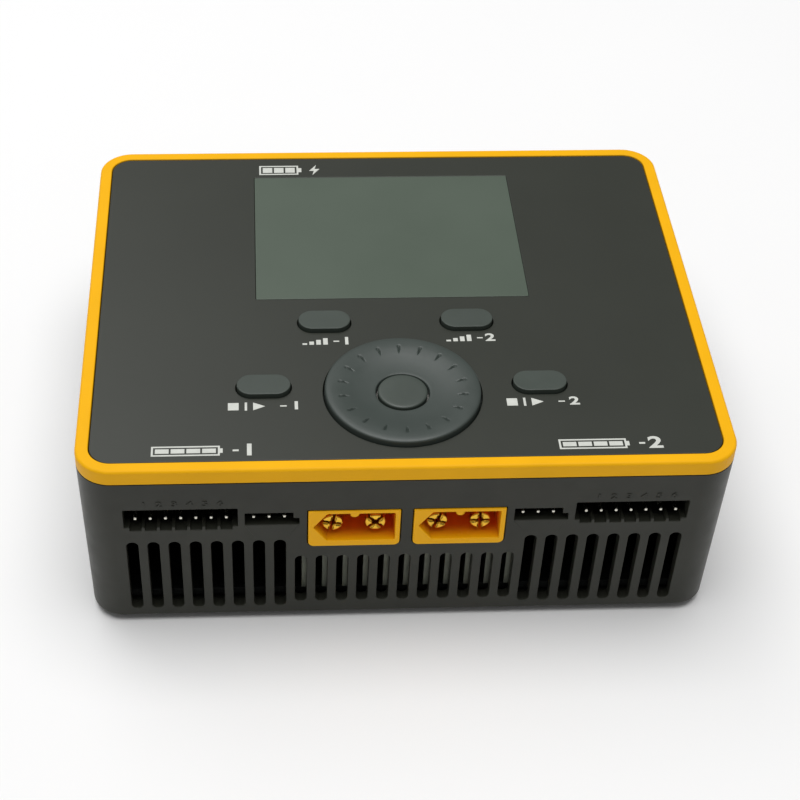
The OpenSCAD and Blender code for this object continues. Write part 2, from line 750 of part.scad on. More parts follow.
// Drum-core chokes: a square flange, a round winding and a cap
module power_inductors() color("#3f4246")
    for (x = [-34, -12.5, 12.5, 34]) translate([x, 1, 0]) {
        translate([0, 0, main_z1]) linear_extrude(2) rounded_rect(18, 18, 2);
        rod(8.2, main_z1 + 2 - eps, main_z1 + 11);
        translate([0, 0, main_z1 + 11 - eps]) linear_extrude(2) rounded_rect(17, 17, 3);
    }

module filter_capacitors() color("#23262e")
    for (x = [-41, -30, -19, 19, 30, 41]) translate([x, 19.5, 0]) difference() {
        rod(5, main_z1, main_z1 + 19);
        difference() {
            rod(5 + cut, main_z1 + 1.6, main_z1 + 2.2);
            rod(4.7, main_z1 + 1, main_z1 + 3);
        }
    }

module board_chips() color("#202020") {
    z0 = main_z1;
    box([-8, 8], [15, 22], [z0, z0 + 1.4]);
    for (x = [-23.25, 0, 23.25]) box([x - 1.6, x + 1.6], [-4, 6], [z0, z0 + 1.5]);
    both_sides() {
        box([24, 36], [-19, -13], [z0, z0 + 2.4]);
        box([17, 22], [-19, -12], [z0, z0 + 1.5]);
    }
}

ribbon_w = 20;
ribbon_t = 0.9;
ribbon_y = -13.5;
header_h = 6;
ribbon_bow = 2.6;

module ribbon_headers() color("#242424") {
    box([-12.5, 12.5], [ribbon_y - 2.5, ribbon_y + 2.5], [main_z1, main_z1 + header_h]);
    box([-12.5, 12.5], [ribbon_y - 2.5, ribbon_y + 2.5], [control_z0 - header_h, control_z0]);
}

// The ribbon bows gently between its two headers
module ribbon_cable() color("#9a9a98") {
    z0 = main_z1 + header_h;
    z1 = control_z0 - header_h;
    steps = 12;
    side = [for (i = [0 : steps])
        [ribbon_y + ribbon_bow * (1 - cos(360 * i / steps)) / 2, z0 + (z1 - z0) * i / steps]];
    outline = concat([for (p = side) p], [for (i = [steps : -1 : 0]) side[i] + [ribbon_t, 0]]);
    translate([-ribbon_w / 2, 0, 0]) rotate([90, 0, 90]) linear_extrude(ribbon_w) polygon(outline);
}

// ---------------------------------------------------------------- fans

// A fan is drawn with its axis along Y, its open side at y = 0 and its motor plate at the far side
module fan_ring() difference() {
    rounded_rect(fan_size, fan_size, 2);
    circle(fan_bore_r);
}

module fan_frame() {
    motor_y = fan_t - 1.4;
    difference() {
        union() {
            along_y(0, motor_y) fan_ring();
            along_y(motor_y - eps, fan_t) {
                fan_ring();
                circle(rotor_hub_r - 0.2);
                for (a = [0, 120, 240]) rotate(a) translate([4, -0.9]) square([fan_bore_r - 3.5, 1.8]);
            }
            along_y(2.2, motor_y) circle(bearing_r);
        }
        along_y(1, fan_t - 0.9) circle(shaft_r + 0.05);
        fan_corners() along_y(-cut, fan_t + cut) circle(tapped_r);
    }
}

module fan_rotor() {
    blade_t = 0.7;
    difference() {
        union() {
            along_y(0.5, fan_t - 2.0) circle(rotor_hub_r);
            intersection() {
                for (i = [0 : fan_blades - 1]) rotate([0, i * 360 / fan_blades, 0])
                    translate([rotor_hub_r - 0.5, (fan_t - 1.8) / 2, 0]) rotate([52, 0, 0])
                        box([0, fan_bore_r], [-5, 5], [-blade_t / 2, blade_t / 2]);
                along_y(0.8, fan_t - 2.6) difference() {
                    circle(fan_bore_r - 0.5);
                    circle(rotor_hub_r - 0.3);
                }
            }
        }
        along_y(1.6, fan_t) circle(rotor_hub_r - 0.8);
    }
    along_y(1.5, fan_t - 1.1) circle(shaft_r);
}

module fan_frame_1() color("#1e1e1e") translate([-fan_x, fan_y0, fan_z]) fan_frame();
module fan_frame_2() color("#1e1e1e") translate([fan_x, fan_y0, fan_z]) fan_frame();
module fan_rotor_1() color("#2c2c2c") translate([-fan_x, fan_y0, fan_z]) fan_rotor();
module fan_rotor_2() color("#2c2c2c") translate([fan_x, fan_y0, fan_z]) fan_rotor();

module fan_screws() color("#2b2b2b")
    fan_places() fan_corners() translate([0, back_y - 1.7, 0]) rotate([-90, 0, 0]) screw(6.5);

// Each fan's lead drops from the frame to a small plug on the main board
module fan_leads() color("#6c2020") both_sides() translate([fan_x - fan_size / 2 - 2.4, 27.5, 0]) {
    lead_z = 17;
    lead_y1 = 6.5;
    box([-2, 2], [-2, 2], [main_z1, main_z1 + 4]);
    for (s = [-1, 1]) translate([s * 0.8, 0, 0]) {
        rod(0.6, main_z1 + 4 - eps, lead_z + 0.6);
        translate([0, 0, lead_z]) along_y(0.2, lead_y1) circle(0.5);
    }
    translate([0, lead_y1, lead_z]) box([-1.6, 2.3], [-eps, 1.4], [-0.8, 0.8]);
}

base_shell();
bezel_frame();
faceplate();
lcd_window();
lcd_module();
lcd_pad();
control_board();
control_chips();
status_button_1();
status_button_2();
start_button_1();
start_button_2();
tact_switches();
jog_dial();
dial_button();
encoder_ring();
output_socket_1();
output_socket_2();
output_pins_1();
output_pins_2();
balance_header_1();
balance_header_2();
balance_pins_1();
balance_pins_2();
aux_header_1();
aux_header_2();
aux_pins_1();
aux_pins_2();
connector_board();
connector_standoffs();
connector_screws();
main_board();
board_screws();
heatsink();
power_transistors();
power_inductors();
filter_capacitors();
board_chips();
fan_frame_1();
fan_frame_2();
fan_rotor_1();
fan_rotor_2();
fan_screws();
fan_leads();
input_socket();
input_pins();
usb_socket();
card_socket();
ribbon_cable();
ribbon_headers();
beeper();
control_screws();
case_screws();
rubber_feet();
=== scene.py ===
"""Looks of a two-channel balance battery charger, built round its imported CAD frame.

Everything is in metres, in the CAD's own frame: +X right, +Y back, +Z up, the surface at z = 0.
"""

import math

import bmesh
import bpy
from mathutils import Matrix, Vector


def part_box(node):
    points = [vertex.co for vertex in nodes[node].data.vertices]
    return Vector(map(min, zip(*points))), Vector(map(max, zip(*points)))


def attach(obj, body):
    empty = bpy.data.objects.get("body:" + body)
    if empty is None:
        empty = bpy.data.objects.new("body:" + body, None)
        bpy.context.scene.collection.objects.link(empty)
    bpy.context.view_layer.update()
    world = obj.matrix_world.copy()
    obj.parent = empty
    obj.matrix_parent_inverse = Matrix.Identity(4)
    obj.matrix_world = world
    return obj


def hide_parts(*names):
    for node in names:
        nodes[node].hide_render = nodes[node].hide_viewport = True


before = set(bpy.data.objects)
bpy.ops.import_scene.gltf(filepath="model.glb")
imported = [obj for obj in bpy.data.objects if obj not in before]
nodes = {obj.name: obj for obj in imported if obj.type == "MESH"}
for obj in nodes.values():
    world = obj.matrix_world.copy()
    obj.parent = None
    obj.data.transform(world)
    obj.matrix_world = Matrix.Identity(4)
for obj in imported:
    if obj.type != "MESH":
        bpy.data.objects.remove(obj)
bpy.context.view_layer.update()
scene = bpy.context.scene
MM = 0.001


# ---------------------------------------------------------------- materials

class Shader:
    """A Principled material under construction: small helpers that add and link nodes."""

    def __init__(self, name):
        self.material = bpy.data.materials.new(name)
        self.material.use_nodes = True
        self.tree = self.material.node_tree
        self.surface = self.tree.nodes["Principled BSDF"]
        self.place = self.node("ShaderNodeTexCoord").outputs["Object"]

    def node(self, kind, **settings):
        made = self.tree.nodes.new(kind)
        for key, value in settings.items():
            setattr(made, key, value)
        return made

    def feed(self, socket, value):
        if isinstance(value, bpy.types.NodeSocket):
            self.tree.links.new(value, socket)
        else:
            socket.default_value = value

    def math(self, operation, a, b=0.0):
        made = self.node("ShaderNodeMath", operation=operation)
        self.feed(made.inputs[0], a)
        self.feed(made.inputs[1], b)
        return made.outputs[0]

    def spread(self, value, low, high, from_low=0.3, from_high=0.7):
        """Maps a noise value onto low..high."""
        made = self.node("ShaderNodeMapRange")
        self.feed(made.inputs["Value"], value)
        made.inputs["From Min"].default_value = from_low
        made.inputs["From Max"].default_value = from_high
        made.inputs["To Min"].default_value = low
        made.inputs["To Max"].default_value = high
        return made.outputs["Result"]

    def noise(self, size_mm, detail=3.0, stretch=None):
        """Noise whose blotches are about size_mm across; stretch lengthens them along an axis."""
        place = self.place
        if stretch:
            mapping = self.node("ShaderNodeMapping")
            self.feed(mapping.inputs["Vector"], place)
            mapping.inputs["Scale"].default_value = [1 / s for s in stretch]
            place = mapping.outputs["Vector"]
        made = self.node("ShaderNodeTexNoise")
        self.feed(made.inputs["Vector"], place)
        made.inputs["Scale"].default_value = 1 / (size_mm * MM)
        made.inputs["Detail"].default_value = detail
        return made.outputs["Fac"]

    def mix(self, factor, first, second):
        made = self.node("ShaderNodeMix", data_type="RGBA")
        self.feed(made.inputs["Factor"], factor)
        self.feed(made.inputs[6], first)
        self.feed(made.inputs[7], second)
        return made.outputs[2]

    def bump(self, height, depth_mm, normal=None):
        made = self.node("ShaderNodeBump")
        made.inputs["Distance"].default_value = depth_mm * MM
        self.feed(made.inputs["Height"], height)
        if normal is not None:
            self.feed(made.inputs["Normal"], normal)
        return made.outputs["Normal"]

    def set(self, **sockets):
        for key, value in sockets.items():
            self.feed(self.surface.inputs[key.replace("_", " ")], value)


def linear(red, green, blue):
    """An sRGB colour, 0 to 255 a channel, as linear RGBA."""
    def one(value):
        value /= 255
        return value / 12.92 if value <= 0.04045 else ((value + 0.055) / 1.055) ** 2.4
    return (one(red), one(green), one(blue), 1.0)


def scaled(colour, factor):
    """A linear colour made darker or brighter."""
    return tuple(min(1.0, c * factor) for c in colour[:3]) + (1.0,)


def moulded(name, colour, roughness, grain_mm=0.25, grain_depth=0.006, mottle=0.08, mottle_mm=9.0,
            gloss_spread=0.05, **sockets):
    """Moulded plastic: slight blotches of colour, uneven gloss and a fine grain."""
    s = Shader(name)
    blotch = s.noise(mottle_mm, 4.0)
    fine = s.noise(grain_mm, 2.0)
    s.set(Base_Color=s.mix(s.spread(blotch, 0, 1), scaled(colour, 1 - mottle), scaled(colour, 1 + mottle)))
    gloss = s.noise(mottle_mm / 3, 3.0)
    s.set(Roughness=s.spread(gloss, roughness - gloss_spread, roughness + gloss_spread))
    s.set(Normal=s.bump(fine, grain_depth))
    s.set(**sockets)
    return s.material


def metal(name, colour, roughness, scratch=(1, 1, 1), depth=0.002, stain=0.12, **sockets):
    """Plated or turned metal: fine scratches that may run one way, and light stains."""
    s = Shader(name)
    lines = s.noise(0.12, 2.0, stretch=scratch)
    stains = s.noise(2.5, 4.0)
    s.set(Base_Color=s.mix(s.spread(stains, 0, 1), scaled(colour, 1 - stain), scaled(colour, 1 + stain / 2)))
    s.set(Roughness=s.spread(lines, max(0.05, roughness - 0.08), roughness + 0.08))
    s.set(Metallic=1.0, Normal=s.bump(lines, depth))
    s.set(**sockets)
    return s.material


def board_mask(name, mask, track):
    """A circuit board: dark solder mask over copper tracks that run at right angles."""
    s = Shader(name)
    cells = s.node("ShaderNodeTexVoronoi", distance="CHEBYCHEV")
    s.feed(cells.inputs["Vector"], s.place)
    cells.inputs["Scale"].default_value = 1 / (2.2 * MM)
    rings = s.math("PINGPONG", cells.outputs["Distance"], 0.14)
    tracks = s.spread(rings, 1, 0, 0.05, 0.07)
    s.set(Base_Color=s.mix(tracks, mask, track))
    s.set(Roughness=s.spread(s.noise(1.5), 0.5, 0.6), Specular_IOR_Level=0.1)
    s.set(Normal=s.bump(tracks, 0.03))
    return s.material


def socket_finish(name, mouth, deep):
    """Amber nylon: bright at the mouth, with painted bounce light further in, a redder tint that stands for
    light bounced round inside the cavity.
    """
    s = Shader(name)
    split = s.node("ShaderNodeSeparateXYZ")
    s.feed(split.inputs[0], s.place)
    outward = s.math("ABSOLUTE", split.outputs["Y"])
    # painted bounce light: the colour runs from the mouth colour to a redder one further inside the cavity
    s.set(Base_Color=s.mix(s.spread(outward, 0, 1, 41.5 * MM, 44.5 * MM), deep, mouth))
    s.set(Roughness=s.spread(s.noise(3), 0.26, 0.34), Specular_IOR_Level=0.15)
    s.set(Normal=s.bump(s.noise(1.5, 2.0), 0.003))
    return s.material


def screen_finish(name):
    """The unlit panel under its clear window: flat grey-green, a faint pixel grid and cloudy gloss."""
    s = Shader(name)
    cloud = s.noise(22, 2.0)
    tone = s.mix(s.spread(cloud, 0, 1, 0.35, 0.65), linear(77, 89, 77), linear(81, 93, 81))
    split = s.node("ShaderNodeSeparateXYZ")
    s.feed(split.inputs[0], s.place)
    pixel = 0.1529 * MM
    lines = s.math("MULTIPLY", s.math("PINGPONG", split.outputs["X"], pixel), 1 / pixel)
    rows = s.math("MULTIPLY", s.math("PINGPONG", split.outputs["Y"], pixel), 1 / pixel)
    grid = s.math("MINIMUM", lines, rows)
    s.set(Base_Color=s.mix(s.spread(grid, 0.12, 0, 0.0, 0.3), tone, linear(48, 56, 48)))
    s.set(Roughness=s.spread(s.noise(6), 0.33, 0.36))
    s.set(Normal=s.bump(s.noise(3), 0.002))
    s.set(Coat_Weight=0.3, Coat_Roughness=0.2)
    return s.material


case_plastic = moulded("case_plastic", linear(47, 48, 41), 0.42, grain_mm=0.35, grain_depth=0.012,
                       mottle=0.1, Specular_IOR_Level=0.27)
bezel_plastic = moulded("bezel_plastic", linear(243, 179, 17), 0.45, grain_depth=0.003, mottle=0.03,
                        Specular_IOR_Level=0.1)
plate_finish = moulded("plate_finish", linear(44, 47, 40), 0.38, grain_depth=0.002, mottle=0.05,
                       mottle_mm=30, gloss_spread=0.012)
button_plastic = moulded("button_plastic", linear(60, 68, 62), 0.45, grain_depth=0.004)
dial_plastic = moulded("dial_plastic", linear(58, 66, 62), 0.42, grain_depth=0.003, mottle=0.04)
# the sockets carry painted bounce light, a redder tint deeper inside their cavities
socket_plastic = socket_finish("socket_plastic", linear(250, 182, 12), linear(255, 124, 32))
header_plastic = moulded("header_plastic", linear(20, 21, 17), 0.5, Specular_IOR_Level=0.2)
chip_plastic = moulded("chip_plastic", linear(30, 30, 30), 0.55, grain_mm=0.15, grain_depth=0.01)
switch_plastic = moulded("switch_plastic", linear(150, 150, 144), 0.5)
fan_plastic = moulded("fan_plastic", linear(24, 24, 24), 0.42, grain_depth=0.008)
foot_rubber = moulded("foot_rubber", linear(26, 26, 26), 0.85, grain_mm=0.4, grain_depth=0.03)
foam_pad = moulded("foam_pad", linear(110, 110, 104), 0.95, grain_mm=0.5, grain_depth=0.08)
capacitor_sleeve = moulded("capacitor_sleeve", linear(24, 28, 42), 0.28, grain_depth=0.002)
choke_core = moulded("choke_core", linear(62, 64, 68), 0.6, grain_mm=0.18, grain_depth=0.03)
lead_insulation = moulded("lead_insulation", linear(120, 24, 20), 0.4)
ribbon_insulation = moulded("ribbon_insulation", linear(150, 150, 146), 0.5)
lcd_panel = moulded("lcd_panel", linear(38, 42, 38), 0.25)
screen_glass = screen_finish("screen_glass")
print_ink = moulded("print_ink", linear(205, 207, 200), 0.5, grain_mm=0.2, mottle=0.06, mottle_mm=1.2)
circuit_board = board_mask("circuit_board", linear(10, 12, 11), linear(20, 22, 20))
gold_contact = metal("gold_contact", linear(238, 190, 66), 0.3)
tin_contact = metal("tin_contact", linear(222, 220, 208), 0.24)
brass_standoff = metal("brass_standoff", linear(204, 170, 98), 0.34)
zinc_screw = metal("zinc_screw", linear(196, 196, 194), 0.32)
black_screw = metal("black_screw", linear(44, 44, 46), 0.45)
heatsink_metal = metal("heatsink_metal", linear(108, 111, 101), 0.5, scratch=(1, 1, 12))
shell_steel = metal("shell_steel", linear(188, 188, 190), 0.3, scratch=(1, 10, 1))


# ---------------------------------------------------------------- pieces

def add_piece(name, mesh, body, finish, replaces=()):
    """A visible piece that rides a body, in the place of the CAD nodes in replaces."""
    mesh.materials.clear()
    mesh.materials.append(finish)
    piece = bpy.data.objects.new(name, mesh)
    scene.collection.objects.link(piece)
    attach(piece, body)
    if replaces:
        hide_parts(*replaces)
    return piece


def flat_faces(node):
    """A CAD node's mesh as a bmesh, with the triangles of each flat face joined."""
    source = nodes[node].data
    bm = bmesh.new()
    verts = [bm.verts.new(v.co) for v in source.vertices]
    for polygon in source.polygons:
        bm.faces.new([verts[i] for i in polygon.vertices])
    bmesh.ops.remove_doubles(bm, verts=bm.verts, dist=0.0005 * MM)
    bmesh.ops.dissolve_limit(bm, angle_limit=math.radians(0.4), verts=bm.verts, edges=bm.edges)
    bmesh.ops.triangulate(bm, faces=[f for f in bm.faces if len(f.verts) > 4])
    bmesh.ops.recalc_face_normals(bm, faces=bm.faces)
    return bm


def to_mesh(bm, name, smooth_degrees=35):
    """Turns a bmesh into a mesh that is smooth but for edges sharper than smooth_degrees."""
    mesh = bpy.data.meshes.new(name)
    bm.to_mesh(mesh)
    bm.free()
    mesh.shade_smooth()
    mesh.set_sharp_from_angle(angle=math.radians(smooth_degrees))
    return mesh


def round_edges(piece, width_mm, segments, weighted):
    bevel = piece.modifiers.new("edge_rounding", "BEVEL")
    bevel.width = width_mm * MM
    bevel.segments = segments
    bevel.limit_method = "WEIGHT" if weighted else "ANGLE"
    bevel.angle_limit = math.radians(35)
    bevel.use_clamp_overlap = False
    bevel.loop_slide = False
    bevel.miter_outer = "MITER_ARC"
    bevel.harden_normals = True
    return bevel


def weigh_edges(bm, width_of, most_mm):
    """Gives each sharp edge the bevel width that width_of(middle, faces) says, in mm."""
    layer = bm.edges.layers.float.new("bevel_weight_edge")
    for edge in bm.edges:
        if len(edge.link_faces) == 2 and edge.calc_face_angle() > math.radians(30):
            middle = (edge.verts[0].co + edge.verts[1].co) / 2
            edge[layer] = width_of(middle, edge) / most_mm


def from_cad(node, name, body, finish, width_mm=0.12, segments=2, width_of=None):
    """Stands a copy with rounded edges in for a CAD node."""
    bm = flat_faces(node)
    if width_of:
        weigh_edges(bm, width_of, width_mm)
    piece = add_piece(name, to_mesh(bm, name), body, finish, [node])
    round_edges(piece, width_mm, segments, weighted=bool(width_of))
    return piece


def lathe(profile, centre, turns=128, lift=None):
    """A closed ring or disc swept round +Z from (radius, z) points in metres.

    lift(radius, angle, z), where given, says how far a point is moved in z.
    """
    bm = bmesh.new()
    rings = []
    for radius, z in profile:
        if radius < 1e-9:
            rings.append([bm.verts.new(centre + Vector((0, 0, z)))])
            continue
        ring = []
        for i in range(turns):
            angle = 2 * math.pi * i / turns
            dz = lift(radius, angle, z) if lift else 0.0
            point = Vector((radius * math.cos(angle), radius * math.sin(angle), z + dz))
            ring.append(bm.verts.new(centre + point))
        rings.append(ring)
    pairs = list(zip(rings, rings[1:]))
    if len(rings[0]) > 1 and len(rings[-1]) > 1:
        pairs.append((rings[-1], rings[0]))
    for lower, upper in pairs:
        for i in range(turns):
            j = (i + 1) % turns
            corners = [lower[i % len(lower)], lower[j % len(lower)],
                       upper[j % len(upper)], upper[i % len(upper)]]
            unique = list(dict.fromkeys(corners))
            if len(unique) > 2:
                bm.faces.new(unique)
    bmesh.ops.recalc_face_normals(bm, faces=bm.faces)
    return bm


def middle_of(node):
    low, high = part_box(node)
    return (low + high) / 2


# ---------------------------------------------------------------- case

bezel_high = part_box("bezel_frame")[1]
shell_low, shell_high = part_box("base_shell")
plate_low, plate_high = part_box("faceplate")
TOP = bezel_high.z
BEZEL_Z0 = shell_high.z
PLATE_TOP = plate_high.z


def bezel_edge(middle, edge):
    """A soft crease along the outer top edge, finer ones elsewhere."""
    outside = max(abs(middle.x) - bezel_high.x, abs(middle.y) - bezel_high.y) > -7 * MM
    if abs(middle.z - TOP) < 0.01 * MM:
        inner = abs(middle.x) < plate_high.x + 0.5 * MM and abs(middle.y) < plate_high.y + 0.5 * MM
        return 0.22 if inner else 0.55
    if middle.z > BEZEL_Z0 - 0.1 * MM and outside:
        return 0.32
    return 0.1


def shell_edge(middle, edge):
    """Every crease of the lower case is softened but the outer rim that the bezel stands on."""
    rim = middle.z > BEZEL_Z0 - 0.05 * MM
    outside = abs(middle.x) > shell_high.x - 6.2 * MM or abs(middle.y) > shell_high.y - 6.2 * MM
    return 0.0 if rim and outside else 0.14


from_cad("base_shell", "lower_case", "case", case_plastic, 0.14, 2, shell_edge)
from_cad("bezel_frame", "amber_bezel", "case", bezel_plastic, 0.55, 5, bezel_edge)
from_cad("faceplate", "top_plate", "case", plate_finish, 0.12)
from_cad("lcd_window", "screen_window", "case", screen_glass, 0.06)
from_cad("rubber_feet", "feet_rubber", "case", foot_rubber, 0.15)

for number in (1, 2):
    for kind in ("status", "start"):
        node = f"{kind}_button_{number}"
        from_cad(node, f"{kind}_key_{number}", node, button_plastic, 0.16, 3)

# ---------------------------------------------------------------- dial

dial_low, dial_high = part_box("jog_dial")
hub_low, hub_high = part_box("dial_button")
dial_axis = Vector((middle_of("jog_dial").x, middle_of("jog_dial").y, 0))
MARKS = 18
STEPS_PER_MARK = 28


def smooth_curve(points, steps):
    """A Catmull-Rom curve through (radius, z) points."""
    def between(a, b, c, d, t):
        square = 2 * a - 5 * b + 4 * c - d
        cube = 3 * b - a - 3 * c + d
        return 0.5 * (2 * b + (c - a) * t + square * t * t + cube * t ** 3)

    out = []
    last = len(points) - 1
    for i in range(last):
        near = [points[max(0, i - 1)], points[i], points[i + 1], points[min(last, i + 2)]]
        for step in range(steps):
            out.append(tuple(between(a, b, c, d, step / steps) for a, b, c, d in zip(*near)))
    out.append(points[-1])
    return out


def finger_mark(radius, angle, z):
    """A teardrop dent: round and deep outside, running out to a point inwards."""
    if z < PLATE_TOP:
        return 0.0
    outer, inner, half_width, depth = 10.75 * MM, 9.1 * MM, 0.36 * MM, 0.34 * MM
    step = 2 * math.pi / MARKS
    off = (angle - math.pi / 2 + step / 2) % step - step / 2
    across = abs(off) * radius
    if radius > outer:
        reach = math.hypot(radius - outer, across) / half_width
        share = 1.0
    else:
        share = max(0.0, (radius - inner) / (outer - inner))
        reach = across / (half_width * (0.25 + 0.75 * share) + 1e-9)
    if reach >= 1 or share <= 0:
        return 0.0
    fall = 1 - reach * reach
    return -depth * fall * fall * min(1.0, share * 1.6) ** 0.8


z = PLATE_TOP
top_line = [(r, min(h, dial_high.z)) for r, h in smooth_curve([(r * MM, z + h * MM) for r, h in [
    (13.2, 0.45), (13.12, 0.78), (12.85, 0.98), (12.3, 1.08), (11.6, 1.1), (10.6, 1.04), (9.4, 0.84),
    (8.2, 0.57), (7.0, 0.34), (5.8, 0.18), (4.9, 0.1), (4.62, 0.02), (4.52, -0.2)]], 8)]
under_line = [(r * MM, h) for r, h in [
    (4.5, plate_low.z + 0.5 * MM), (5.4, plate_low.z + 0.5 * MM), (5.4, dial_low.z), (6.9, dial_low.z),
    (6.9, plate_low.z + 0.4 * MM), (11.8, plate_low.z + 0.4 * MM), (11.8, dial_low.z), (13.9, dial_low.z),
    (13.9, plate_low.z - 0.3 * MM), (13.2, plate_low.z - 0.3 * MM)]]
dial_ring = lathe(top_line + under_line, dial_axis, MARKS * STEPS_PER_MARK, finger_mark)
add_piece("dial_ring", to_mesh(dial_ring, "dial_ring", 40), "jog_dial",
          dial_plastic, ["jog_dial"])

hub_top = hub_high.z
hub_line = [(r * MM, h) for r, h in [
    (0, hub_top), (3.0, hub_top), (3.7, hub_top - 0.01 * MM), (3.95, hub_top - 0.04 * MM),
    (4.1, hub_top - 0.12 * MM), (4.18, hub_top - 0.22 * MM), (4.2, hub_top - 0.36 * MM),
    (4.2, plate_low.z + 0.7 * MM),
    (3.45, plate_low.z + 0.7 * MM), (3.45, plate_low.z - 0.4 * MM), (4.2, plate_low.z - 0.4 * MM),
    (4.2, hub_low.z), (0, hub_low.z)]]
add_piece("dial_centre_key", to_mesh(lathe(hub_line, dial_axis, 96), "dial_centre_key", 40),
          "dial_button", button_plastic, ["dial_button"])


# ---------------------------------------------------------------- sockets and pins

def pin_tip_edge(middle, edge):
    """The small pins are well rounded at their tips."""
    front = min(v.co.y for v in edge.verts)
    return 0.2 if front < shell_low.y + 1.0 * MM else 0.05


def finger_tip_edge(middle, edge):
    """The four fingers of a power contact are well rounded at their tips."""
    outward = max(abs(v.co.y) for v in edge.verts)
    return 0.32 if outward > -shell_low.y - 1.6 * MM else 0.04


for number in (1, 2):
    from_cad(f"output_socket_{number}", f"power_outlet_{number}", "case", socket_plastic,
             0.16, 3)
    from_cad(f"output_pins_{number}", f"power_contacts_{number}", "case", gold_contact,
             0.32, 4, finger_tip_edge)
    for port in ("balance", "aux"):
        from_cad(f"{port}_header_{number}", f"{port}_header_block_{number}", "case",
                 header_plastic)
        from_cad(f"{port}_pins_{number}", f"{port}_contacts_{number}", "case", tin_contact,
                 0.2, 1, pin_tip_edge)
from_cad("input_socket", "supply_inlet", "case", socket_plastic, 0.2, 3)
from_cad("input_pins", "supply_contacts", "case", gold_contact, 0.32, 4, finger_tip_edge)
from_cad("usb_socket", "usb_shell", "case", shell_steel, 0.06)
from_cad("card_socket", "card_shell", "case", shell_steel, 0.06)

# ---------------------------------------------------------------- inside

INSIDE = {
    "lcd_module": ("lcd_panel", lcd_panel, 0.1),
    "lcd_pad": ("foam_pad", foam_pad, 0.1),
    "control_board": ("circuit_board", circuit_board, 0.08),
    "connector_board": ("circuit_board", circuit_board, 0.08),
    "main_board": ("circuit_board", circuit_board, 0.08),
    "control_chips": ("chip_plastic", chip_plastic, 0.1),
    "board_chips": ("chip_plastic", chip_plastic, 0.1),
    "power_transistors": ("chip_plastic", chip_plastic, 0.15),
    "beeper": ("chip_plastic", chip_plastic, 0.2),
    "ribbon_headers": ("chip_plastic", chip_plastic, 0.15),
    "tact_switches": ("switch_plastic", switch_plastic, 0.12),
    "encoder_ring": ("switch_plastic", switch_plastic, 0.08),
    "connector_standoffs": ("brass_standoff", brass_standoff, 0.12),
    "connector_screws": ("zinc_screw", zinc_screw, 0.12),
    "board_screws": ("zinc_screw", zinc_screw, 0.12),
    "control_screws": ("zinc_screw", zinc_screw, 0.12),
    "case_screws": ("black_screw", black_screw, 0.12),
    "fan_screws": ("black_screw", black_screw, 0.12),
    "heatsink": ("heatsink_metal", heatsink_metal, 0.1),
    "power_inductors": ("choke_core", choke_core, 0.3),
    "filter_capacitors": ("capacitor_sleeve", capacitor_sleeve, 0.2),
    "fan_leads": ("lead_insulation", lead_insulation, 0.08),
    "ribbon_cable": ("ribbon_insulation", ribbon_insulation, 0.06),
}
for node, (slot, finish, width) in INSIDE.items():
    from_cad(node, f"inner_{node}", "case", finish, width)

# ---------------------------------------------------------------- fans

# Sizes in mm
FAN_BLADES = 7
FAN_T = 10.0
HUB_R = 6.2
BLADE_TIP_R = 11.0
BLADE_RISE = 6.0         # a blade's length along the axis
BLADE_MIDDLE = 4.1       # the height of its middle
BLADE_BOW = 1.1          # how far its section bows out
BLADE_STEPS = 8          # points along each face of its section
BLADE_RINGS = 7          # sections from the hub to the tip


def blade_ring(radius, turn):
    """A fan blade's section at one radius: out along its front face and back along its rear one."""
    share = (radius - HUB_R) / (BLADE_TIP_R - HUB_R)
    slope = math.tan(math.radians(52 - 14 * share))
    ring = []
    for side in (1, -1):
        for k in range(BLADE_STEPS + 1):
            t = k / BLADE_STEPS if side > 0 else 1 - k / BLADE_STEPS
            swell = math.sin(math.pi * t)
            half_thickness = 0.12 + 0.26 * swell
            along = (t - 0.5) * BLADE_RISE
            across = along / slope + BLADE_BOW * swell + side * half_thickness
            angle = turn + across / radius
            height = BLADE_MIDDLE + along
            ring.append(Vector((radius * math.cos(angle), radius * math.sin(angle), height)) * MM)
    return ring


def fan_rotor_mesh(name, node):
    """A cup-shaped hub on its shaft with curved, twisted blades, turning round +Y."""
    hub = [(r * MM, h * MM) for r, h in [
        (0, 0.5), (HUB_R - 0.5, 0.5), (HUB_R - 0.15, 0.65), (HUB_R, 1.0), (HUB_R, FAN_T - 2.0),
        (HUB_R - 0.8, FAN_T - 2.0), (HUB_R - 0.8, 1.6), (0.8, 1.6), (0.8, FAN_T - 1.1), (0, FAN_T - 1.1)]]
    bm = lathe(hub, Vector((0, 0, 0)), 72)
    root_r = HUB_R - 0.3
    radii = [root_r + (BLADE_TIP_R - root_r) * j / (BLADE_RINGS - 1) for j in range(BLADE_RINGS)]
    for i in range(FAN_BLADES):
        rings = [[bm.verts.new(p) for p in blade_ring(r, 2 * math.pi * i / FAN_BLADES)] for r in radii]
        for inner, outer in zip(rings, rings[1:]):
            for k in range(len(inner)):
                after = (k + 1) % len(inner)
                bm.faces.new([inner[k], inner[after], outer[after], outer[k]])
        bm.faces.new(rings[0])
        bm.faces.new(rings[-1])
    bmesh.ops.recalc_face_normals(bm, faces=bm.faces)
    low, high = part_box(node)
    place = Vector(((low.x + high.x) / 2, low.y - 0.5 * MM, (low.z + high.z) / 2))
    bm.transform(Matrix.Translation(place) @ Matrix.Rotation(math.radians(-90), 4, "X"))
    return to_mesh(bm, name, 40)


for number in (1, 2):
    from_cad(f"fan_frame_{number}", f"fan_housing_{number}", "case", fan_plastic, 0.15)
    rotor = f"fan_rotor_{number}"
    add_piece(f"fan_blades_{number}", fan_rotor_mesh(f"fan_blades_{number}", rotor), rotor,
              fan_plastic, [rotor])


# ---------------------------------------------------------------- printed marks

INK_DEPTH = 0.03 * MM    # how far the ink stands proud of the plate
INK_SINK = 0.01 * MM     # how far it reaches into the plate


